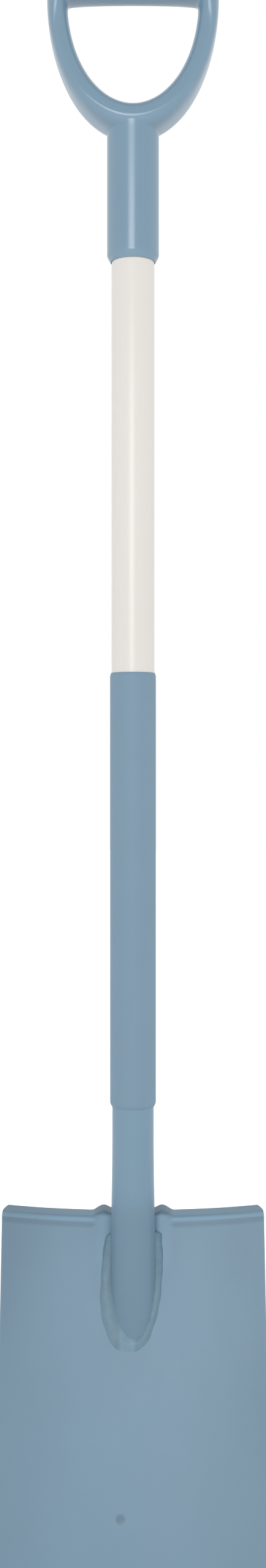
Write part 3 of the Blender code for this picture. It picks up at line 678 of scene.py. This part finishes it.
# the light and shade painted into its coat, and its darker spot over the dent: a measure's near and far ends
# in metres, and the shade up to the near end
paintedLightAndDent = {
    "dent": (0.0016, 0.0046, 0.78), "roll": (0.0010, 0.0022, 1.18), "rollStep": 9, "rollFade": 0.4,
    "crease": (0.0006, 0.0032, 0.84), "creaseBelow": 0.0033, "creaseFade": 0.6,
    "side": (-0.0943, -0.030, 0.92), "shoulder": (0.2555, 0.318, 0.88), "shoulderLean": -0.4,
    "ear": (0.0048, 0.0075, 0.62), "earTop": 0.0058, "earEdge": 0.018, "earFade": 0.6,
    "pale": (0.020, 0.031, 1.12), "paleLength": 0.030, "paleFade": 0.5,
}
neck = {
    "lap": 0.0838, "widening": 0.0018, "wideningTop": 0.060, "wideningEnd": -0.070,
    "tipMargin": 0.0004, "plateGap": 0.00005, "sides": 128, "rings": 110, "lowerTint": (-0.006, 0.026, 0.84),
}
bladeHalf = blade["width"] / 2
straightEnd = blade["length"] - blade["cornerRadius"]
treadHeight = sleeveEnd - blade["neckShown"]
slope, fall = math.sin(blade["tilt"]), math.cos(blade["tilt"])


def seatPress(x, down):
    across = min(abs(x) / blade["seatHalfWidth"], 1)
    fading = 1 - smoothstep(0, blade["seatLength"], down)
    return blade["seatDepth"] * math.cos(across * math.pi / 2) ** 2 * fading


def plateBulge(x, down):
    return blade["dish"] * (x / bladeHalf) ** 2 - seatPress(x, down)


def dimple(x, down):
    # the small round dent low on the blade's face
    away = math.hypot(x - blade["dimplePlace"][0], down - blade["dimplePlace"][1]) / blade["dimpleRadius"]
    return blade["dimpleDepth"] * (1 - smoothstep(blade["dimpleFlat"], 1, away))


def neckHalfWidth(height):
    return neckRadius + neck["widening"] * smoothstep(neck["wideningTop"], neck["wideningEnd"], height)


def neckHalfDepth(height):
    return math.sqrt(2 * neckRadius**2 - neckHalfWidth(height) ** 2)


plateBaseY = neck["lap"] * math.tan(blade["tilt"]) - neckHalfDepth(-neck["lap"])
plateBaseY += blade["thickness"] / 2 / fall


def tiltedBack(x, y, z):
    # from the upright plate that the blade is worked out as, to its place on the spade
    return x, plateBaseY + y * fall + z * slope, treadHeight + z * fall - y * slope


def plateFrontY(x, height, proud=0.0, rounds=6):
    # each round brings the place on the plate and the bulge there closer to each other
    forward = 0.0
    for _ in range(rounds):
        down = (forward * slope - height) / fall
        forward = plateBulge(x, down) + blade["thickness"] / 2 + proud
    return plateBaseY - down * slope - forward * fall


def neckSurface(turn, height, outward=0.0):
    x = (neckHalfWidth(height) + outward) * math.sin(turn)
    y = -(neckHalfDepth(height) + outward) * math.cos(turn)
    return Vector((x, y, height))


def treadWalk(creaseTurn):
    # steps up through crease, roll and flange: (up, forward, share of the tread)
    # the roll turns until the tread is a little short of level
    rollTurn = creaseTurn + math.pi / 2 - blade["tilt"] - blade["treadLift"]
    legs = [
        (blade["creaseRadius"] * blade["creaseTurn"], creaseTurn, blade["creaseSteps"]),
        (blade["rollRadius"] * rollTurn, -rollTurn, blade["rollSteps"]),
        (blade["treadFlange"], 0.0, blade["flangeSteps"]),
    ]
    treadLength = legs[1][0] + legs[2][0]
    up = forward = heading = 0.0
    walked = -legs[0][0]
    taken = []
    for length, turn, steps in legs:
        for _ in range(steps):
            heading += turn / steps / 2
            up += length / steps * math.cos(heading)
            forward += length / steps * math.sin(heading)
            heading += turn / steps / 2
            walked += length / steps
            taken.append((up, forward, max(walked, 0) / treadLength))
    return taken


def treadTop():
    up, forward, _ = treadWalk(blade["creaseTurn"])[-1]
    top = up * fall + forward * slope - blade["treadLevel"]
    return top + blade["thickness"] / 2 * math.cos(blade["treadLift"])


def squeeze(x, inset):
    start = bladeHalf - blade["cornerRadius"] * blade["squeezeReach"]
    return math.copysign(abs(x) - inset * max(abs(x) - start, 0) / (bladeHalf - start), x)


def cornerInset(beyond):
    radius = blade["cornerRadius"]
    return radius - math.sqrt(radius**2 - min(max(beyond, 0), radius) ** 2)


def closerAtDimple(places, middle):
    # puts closer places over the dent, instead of the ones that lie there
    reach, half = blade["dimpleRadius"] * blade["dimpleMargin"], blade["dimpleSteps"]
    places = [place for place in places if abs(place - middle) > reach]
    return sorted(places + [middle + reach * i / half for i in range(-half, half + 1)])


def columnPlaces():
    half, start = [], 0
    ends = (neckRadius, blade["earOuter"], bladeHalf - blade["cornerRadius"], bladeHalf)
    for end, count in zip(ends, blade["columns"]):
        half += evenSteps(start, end, count)
        start = end
    return closerAtDimple([-x for x in half] + [0.0] + half, blade["dimplePlace"][0])


def downPlaces(foot):
    count, crowding = blade["rows"], blade["rowCrowding"]
    downs = [foot + (straightEnd - foot) * (i / count) ** crowding for i in range(1, count + 1)]
    for turn in evenSteps(0, math.pi / 2, blade["cornerRows"]):
        downs.append(straightEnd + blade["cornerRadius"] * math.sin(turn))
    return closerAtDimple(downs, blade["dimplePlace"][1])


def earLift(x):
    rise = blade["earRise"] * smoothstep(blade["earOuter"], blade["earPeak"], x)
    return rise - blade["earDip"] * smoothstep(blade["earPeak"], neckRadius, x)


def bladeColumn(x):
    # one column of points, from the tread's edge down to the cutting edge; the ears have no crease
    creaseTurn = blade["creaseTurn"] * (1 - smoothstep(blade["earOuter"], blade["earPeak"], abs(x)))
    rise = blade["treadRise"] * (x / bladeHalf) ** 2 + earLift(abs(x))
    foot = (treadTop() - rise) / fall
    column = [Vector((x, -plateBulge(x, foot), -foot))]
    for up, forward, share in treadWalk(creaseTurn):
        place = squeeze(x, blade["treadCorner"] * share**2)
        column.append(Vector((place, -plateBulge(place, foot) - forward, up - foot)))
    column.reverse()
    for down in downPlaces(foot):
        place = squeeze(x, cornerInset(down - straightEnd))
        low = max(down - straightEnd / 2, 0) / (blade["length"] - straightEnd / 2)
        bowed = down - blade["edgeBow"] * (place / bladeHalf) ** 2 * low**2
        column.append(Vector((place, dimple(place, bowed) - plateBulge(place, bowed), -bowed)))
    return column


def makeBlade():
    build = bmesh.new()
    columns = [[build.verts.new(point) for point in bladeColumn(x)] for x in columnPlaces()]
    for left, right in zip(columns, columns[1:]):
        for i in range(len(left) - 1):
            build.faces.new((left[i], left[i + 1], right[i + 1], right[i]))
    mesh = bpy.data.meshes.new("blade")
    build.to_mesh(mesh)
    build.free()
    rows = len(columns[0])
    piece = newPiece("bladePlate", mesh)
    plate = piece.vertex_groups.new(name="fullThickness")
    plate.add([i for i in range(len(mesh.vertices)) if i % rows < rows - 1], 1.0, "REPLACE")
    shell = piece.modifiers.new("thickness", "SOLIDIFY")
    shell.thickness = blade["thickness"]
    shell.offset = 0
    shell.use_even_offset = True
    shell.vertex_group = plate.name
    shell.thickness_vertex_group = blade["edgeThinning"]
    rim = piece.modifiers.new("rim", "BEVEL")
    rim.width = blade["edgeRound"]
    rim.segments = blade["edgeSegments"]
    rim.limit_method = "ANGLE"
    rim.angle_limit = blade["edgeTurn"]
    applied(piece)
    for point in piece.data.vertices:
        point.co = tiltedBack(*point.co)
    return piece


def dentPoint():
    x, down = blade["dimplePlace"]
    return tiltedBack(x, -plateBulge(x, down) - blade["thickness"] / 2, -down)


def rollHeight(x):
    foot = (treadTop() - blade["treadRise"] * (x / bladeHalf) ** 2) / fall
    up, forward, _ = treadWalk(blade["creaseTurn"])[paintedLightAndDent["rollStep"]]
    return tiltedBack(x, -plateBulge(x, foot) - forward, up - foot)[2]


def paintLightOnBlade(material):
    tree = material.node_tree
    x, _, z = placeIn(material)
    aside = worked(tree, "ABSOLUTE", x)
    # the coat is darker over the dent
    away = nodeAdder(tree)("ShaderNodeVectorMath", operation="DISTANCE")
    away.inputs[1].default_value = dentPoint()
    tree.links.new(tree.nodes["Texture Coordinate"].outputs["Object"], away.inputs[0])
    tint(material, away.outputs["Value"], *paintedLightAndDent["dent"])

    # painted light on the treads' roll, and painted shade in the crease under it
    middleHeight = rollHeight(0)
    bend = (rollHeight(bladeHalf) - middleHeight) / bladeHalf**2
    roll = worked(tree, "MULTIPLY_ADD", worked(tree, "MULTIPLY", x, x), bend, middleHeight)
    above = worked(tree, "SUBTRACT", z, roll)
    inEar = worked(tree, "MAXIMUM", worked(tree, "SUBTRACT", blade["earOuter"], aside), 0)
    offRoll = worked(tree, "ABSOLUTE", above)
    tint(material, worked(tree, "MULTIPLY_ADD", inEar, paintedLightAndDent["rollFade"], offRoll), *paintedLightAndDent["roll"])
    offCrease = worked(tree, "ABSOLUTE", worked(tree, "ADD", above, paintedLightAndDent["creaseBelow"]))
    tint(material, worked(tree, "MULTIPLY_ADD", inEar, paintedLightAndDent["creaseFade"], offCrease), *paintedLightAndDent["crease"])

    # painted shade to the sides, on the ears' tops and on the left shoulder, and painted light beside the
    # tube, where the tube shades the plate
    tint(material, worked(tree, "MULTIPLY", aside, -1), *paintedLightAndDent["side"])
    belowEar = worked(tree, "SUBTRACT", treadHeight + paintedLightAndDent["earTop"], z)
    pastEar = worked(tree, "MULTIPLY_ADD", aside, paintedLightAndDent["earFade"], -paintedLightAndDent["earFade"] * paintedLightAndDent["earEdge"])
    tint(material, worked(tree, "MAXIMUM", belowEar, pastEar), *paintedLightAndDent["ear"])
    tint(material, worked(tree, "MULTIPLY_ADD", z, paintedLightAndDent["shoulderLean"], x), *paintedLightAndDent["shoulder"])
    low = worked(tree, "MAXIMUM", worked(tree, "SUBTRACT", treadHeight - paintedLightAndDent["paleLength"], z), 0)
    tint(material, worked(tree, "MULTIPLY_ADD", low, paintedLightAndDent["paleFade"], aside), *paintedLightAndDent["pale"])


paintLightOnBlade(coatedSteel)
finishPiece(makeBlade(), coatedSteel, "blade", sharpAngle=50)
print("spade: blade made")


# neck tube, cut along the plate that it lies on, and its spigot inside the shaft
spigot = {"radius": 0.0139, "length": 0.110, "chamfer": 0.001, "gap": 0.0003}


def inFront(turn, height):
    point = neckSurface(turn, height)
    return plateFrontY(point.x, height) > point.y


def makeNeck():
    joint = jointHeight - treadHeight
    radius = spigot["radius"]
    rings = [
        circle(radius - spigot["chamfer"], joint + spigot["length"], neck["sides"]),
        circle(radius, joint + spigot["length"] - spigot["chamfer"], neck["sides"]),
        circle(radius, joint - spigot["gap"], neck["sides"]),
        circle(neckRadius, joint - spigot["gap"] - (neckRadius - radius), neck["sides"]),
    ]
    turns = [math.remainder(math.tau * i / neck["sides"], math.tau) for i in range(neck["sides"])]
    top, end = neck["wideningTop"], -neck["lap"] + neck["tipMargin"]
    for height in [top] + evenSteps(top, end, neck["rings"]):
        # where the plate cuts the tube, the rest of the ring lies along the cut
        whole = inFront(math.pi, height)
        cut = math.pi if whole else lastInside(lambda t: inFront(t, height), 0, math.pi)
        ring = []
        for turn in turns:
            point = neckSurface(turn, height)
            if abs(turn) > cut:
                x = neckSurface(cut, height).x * (math.pi - abs(turn)) / (math.pi - cut)
                point = Vector((math.copysign(x, turn), 0, height))
                point.y = plateFrontY(x, height, neck["plateGap"])
            ring.append(tuple(point))
        rings.append(ring)
    mesh = loftMesh("neck", rings)
    for point in mesh.vertices:
        point.co.z += treadHeight
    return newPiece("neckTube", mesh)


# the neck tube's coat is darker towards its lower end, by the plate
neckCoat = coatMaterial("neckCoat", coatedSteelLook)
tint(neckCoat, worked(neckCoat.node_tree, "SUBTRACT", placeIn(neckCoat)["Z"], treadHeight), *neck["lowerTint"])
finishPiece(makeNeck(), neckCoat, "neck_tube", sharpAngle=35)
print("spade: neck tube made")


# weld beads: widths on the plate at angles round the tube, from its front
weld = {
    "left": ((-127, 0.0062), (-95, 0.0063), (-50, 0.0098), (-22, 0.0112)),
    "right": ((129, 0.0086), (112, 0.0062), (80, 0.0044), (45, 0.0044), (14, 0.0064)),
    "toe": ((-22, 0.0112), (0, 0.0082), (14, 0.0064)), "toeAside": 0.0042, "toeTint": (0.0040, 0.0066, 1.20),
    "tubeLeg": 0.0015, "toeTubeLeg": 0.0012, "creviceLeg": 0.0085, "crown": 0.0011, "startLength": 0.0045,
    "swell": 0.035, "swellLength": 0.015, "rippleDepth": 0.00005, "rippleLength": 0.0016, "rippleLag": 0.0012,
    "lumpDepth": 0.0003, "lumpSize": 130.0, "step": 0.6, "facePoints": 18, "sunk": -0.00012,
    "creviceTurns": (80, 140), "toeTurns": (70, 10), "measured": 140, "rootMargin": 0.0015,
    "startShares": (0.03, 0.1, 0.25, 0.45, 0.7), "startOffset": 0.02,
}


def weldRoot(turn):
    # where the tube's side meets the plate
    top, end = neckRadius * 2, -neck["lap"] - weld["rootMargin"]
    return neckSurface(turn, lastInside(lambda height: inFront(turn, height), top, end))


def ontoTube(point):
    turn = math.atan2(point.x / neckHalfWidth(point.z), -point.y / neckHalfDepth(point.z))
    return neckSurface(turn, point.z, weld["sunk"])


def ontoPlate(point):
    return Vector((point.x, plateFrontY(point.x, point.z, weld["sunk"]), point.z))


def clearOfBoth(point):
    if point.xy.length < ontoTube(point).xy.length:
        point = ontoTube(point)
    if point.y > ontoPlate(point).y:
        point = ontoPlate(point)
    return point


def weldSection(turn, plateLeg, scale, travelled):
    root = weldRoot(turn)
    wide, deep = neckHalfWidth(root.z), neckHalfDepth(root.z)
    fromTube = Vector((math.sin(turn) / wide, -math.cos(turn) / deep, 0)).normalized()
    fromPlate = Vector((0, -fall, slope))
    alongPlate = (fromTube - fromPlate * fromTube.dot(fromPlate)).normalized()
    alongTube = (fromPlate - fromTube * fromTube.dot(fromPlate)).normalized()
    outward = (fromTube + fromPlate).normalized()
    crevice = smoothstep(*map(math.radians, weld["creviceTurns"]), abs(turn))
    toe = smoothstep(*map(math.radians, weld["toeTurns"]), abs(turn))
    tubeLeg = between(weld["tubeLeg"], weld["toeTubeLeg"], toe) + weld["creviceLeg"] * crevice
    foot = ontoPlate(root + alongPlate * plateLeg * scale)
    top = ontoTube(root + alongTube * tubeLeg * scale)
    section = [ontoPlate(ontoTube(root))]
    for i in range(weld["facePoints"] + 1):
        share = i / weld["facePoints"]
        arch = math.sin(math.pi * share)
        flat = foot.lerp(top, share)
        # each ripple is a little crescent that lags at the bead's middle
        ripple = math.sin(math.tau * (travelled + weld["rippleLag"] * arch) / weld["rippleLength"])
        lump = noise.noise(flat * weld["lumpSize"])
        crown = weld["crown"] * scale + weld["rippleDepth"] * ripple + weld["lumpDepth"] * lump
        section.append(clearOfBoth(flat + outward * crown * arch))
    section += [ontoTube(top.lerp(root, share)) for share in (1 / 3, 2 / 3)]
    return section


def legAt(legs, angle):
    for (start, fromLeg), (end, toLeg) in zip(legs, legs[1:]):
        if min(start, end) <= angle <= max(start, end):
            return between(fromLeg, toLeg, smoothstep(0, 1, (angle - start) / (end - start)))
    return legs[-1][1]


# the way along the beads' root, measured once at each degree, so that ripples run on from bead to bead
measured = weld["measured"]
rootPlaces = [weldRoot(math.radians(angle)) for angle in range(-measured, measured + 1)]
rootLengths = [0.0]
for earlier, later in zip(rootPlaces, rootPlaces[1:]):
    rootLengths.append(rootLengths[-1] + (later - earlier).length)


def travelledAt(angle):
    whole = math.floor(angle)
    return between(rootLengths[whole + measured], rootLengths[whole + measured + 1], angle - whole)


def makeBead(name, legs, roundStart):
    start, end = legs[0][0], legs[-1][0]
    steps = round(abs(end - start) / weld["step"])
    angles = [start + (end - start) * i / steps for i in range(steps + 1)]
    if roundStart:
        angles[1:1] = [start + (end - start) / steps * share for share in weld["startShares"]]
    offset = weld["startOffset"]
    sections = []
    for angle in angles:
        travelled = travelledAt(angle)
        swell = weld["swell"] * math.sin(math.pi * (angle - start) / (end - start))
        scale = 1 + swell * math.sin(math.tau * travelled / weld["swellLength"])
        if roundStart:
            begun = abs(travelled - travelledAt(start)) / weld["startLength"]
            scale *= math.sqrt(1 - (1 - min((begun + offset) / (1 + offset), 1)) ** 2)
        sections.append(weldSection(math.radians(angle), legAt(legs, angle), scale, travelled))
    mesh = loftMesh(name, sections)
    for point in mesh.vertices:
        point.co.z += treadHeight
    return newPiece(name, mesh)


# painted light over the toe, which faces more to the front than the long beads beside the tube
offToe = worked(weldCoat.node_tree, "ADD", placeIn(weldCoat)["X"], weld["toeAside"])
tint(weldCoat, worked(weldCoat.node_tree, "ABSOLUTE", offToe), *weld["toeTint"])
finishPiece(makeBead("weldLeft", weld["left"], True), weldCoat, "weld_left", sharpAngle=60)
finishPiece(makeBead("weldRight", weld["right"], True), weldCoat, "weld_right", sharpAngle=60)
finishPiece(makeBead("weldToe", weld["toe"], False), weldCoat, "weld_toe", sharpAngle=60)
print("spade: weld beads made")


# the solids that stay as they are: plug and rivets inside the tubes
for name, material in (
    ("shaft_plug", plugPlastic), ("joint_rivet_upper", zincSteel), ("joint_rivet_lower", zincSteel),
):
    nodes[name].data.materials.clear()
    nodes[name].data.materials.append(material)


# floor, backdrop and light
studio = {
    "floorSize": 14.0, "floorParts": 6, "floorColour": (0.95, 0.95, 0.95), "floorRoughness": 0.9,
    "floorLift": 0.6, "frontLight": 0.74, "sideLight": 0.75, "rightLight": 0.09, "backLight": 0.5,
    "topShade": 0.6, "boxTurn": -6.5, "boxRise": 10.5, "boxAway": 2.4, "boxWidth": 0.95,
    "boxHeight": 1.36, "boxPower": 18.0, "aim": (0.0, 0.0, -0.35),
}


def raysSeen(tree):
    # 1 for the rays that show the background: straight from the camera, mirrored or through glass
    rays = nodeAdder(tree)("ShaderNodeLightPath").outputs
    mirrored = worked(tree, "MAXIMUM", rays["Is Camera Ray"], rays["Is Glossy Ray"])
    return worked(tree, "MAXIMUM", mirrored, rays["Is Transmission Ray"])


def makeFloor():
    build = bmesh.new()
    parts = studio["floorParts"]
    bmesh.ops.create_grid(build, x_segments=parts, y_segments=parts, size=studio["floorSize"])
    mesh = bpy.data.meshes.new("floor")
    build.to_mesh(mesh)
    build.free()
    floor = newPiece("floor", mesh)
    floor.location.z = cadLow.z
    material = bpy.data.materials.new("paleFloor")
    material.use_nodes = True
    tree = material.node_tree
    shader = tree.nodes["Principled BSDF"]
    shader.inputs["Base Color"].default_value = (*studio["floorColour"], 1)
    shader.inputs["Roughness"].default_value = studio["floorRoughness"]
    shader.inputs["Specular IOR Level"].default_value = 0.0
    shader.inputs["Emission Color"].default_value = (1, 1, 1, 1)
    lifted = worked(tree, "MULTIPLY", raysSeen(tree), studio["floorLift"])
    tree.links.new(lifted, shader.inputs["Emission Strength"])
    mesh.materials.append(material)


def makeWorld():
    world = bpy.data.worlds.new("studio")
    world.use_nodes = True
    scene.world = world
    tree = world.node_tree
    add = nodeAdder(tree)
    link = tree.links.new
    backdrop = tree.nodes["Background"]
    backdrop.inputs["Color"].default_value = (1, 1, 1, 1)
    # the light itself is stronger from the sides and the back, and weaker from above
    way = add("ShaderNodeSeparateXYZ")
    link(add("ShaderNodeTexCoord").outputs["Generated"], way.inputs[0])
    x, y, z = way.outputs
    right = worked(tree, "MULTIPLY_ADD", x, studio["rightLight"], studio["frontLight"])
    sides = worked(tree, "MULTIPLY_ADD", worked(tree, "MULTIPLY", x, x), studio["sideLight"], right)
    back = worked(tree, "MULTIPLY_ADD", worked(tree, "MAXIMUM", y, 0), studio["backLight"], sides)
    shaded = worked(tree, "MULTIPLY_ADD", worked(tree, "MAXIMUM", z, 0), -studio["topShade"], back)
    strength = add("ShaderNodeMix", data_type="FLOAT")
    strength.inputs[3].default_value = 1.0
    link(raysSeen(tree), strength.inputs[0])
    link(shaded, strength.inputs[2])
    link(strength.outputs[0], backdrop.inputs["Strength"])


def makeFrontBox():
    turn, rise = math.radians(studio["boxTurn"]), math.radians(studio["boxRise"])
    away = Vector((math.sin(turn) * math.cos(rise), -math.cos(turn) * math.cos(rise), math.sin(rise)))
    lamp = bpy.data.lights.new("frontBox", "AREA")
    lamp.shape = "RECTANGLE"
    lamp.size = studio["boxWidth"]
    lamp.size_y = studio["boxHeight"]
    lamp.energy = studio["boxPower"]
    box = bpy.data.objects.new("frontBox", lamp)
    box.location = Vector(studio["aim"]) + away * studio["boxAway"]
    box.rotation_euler = away.to_track_quat("Z", "Y").to_euler()
    box.visible_camera = False
    scene.collection.objects.link(box)


makeFloor()
makeWorld()
makeFrontBox()
print("spade: floor and light made")
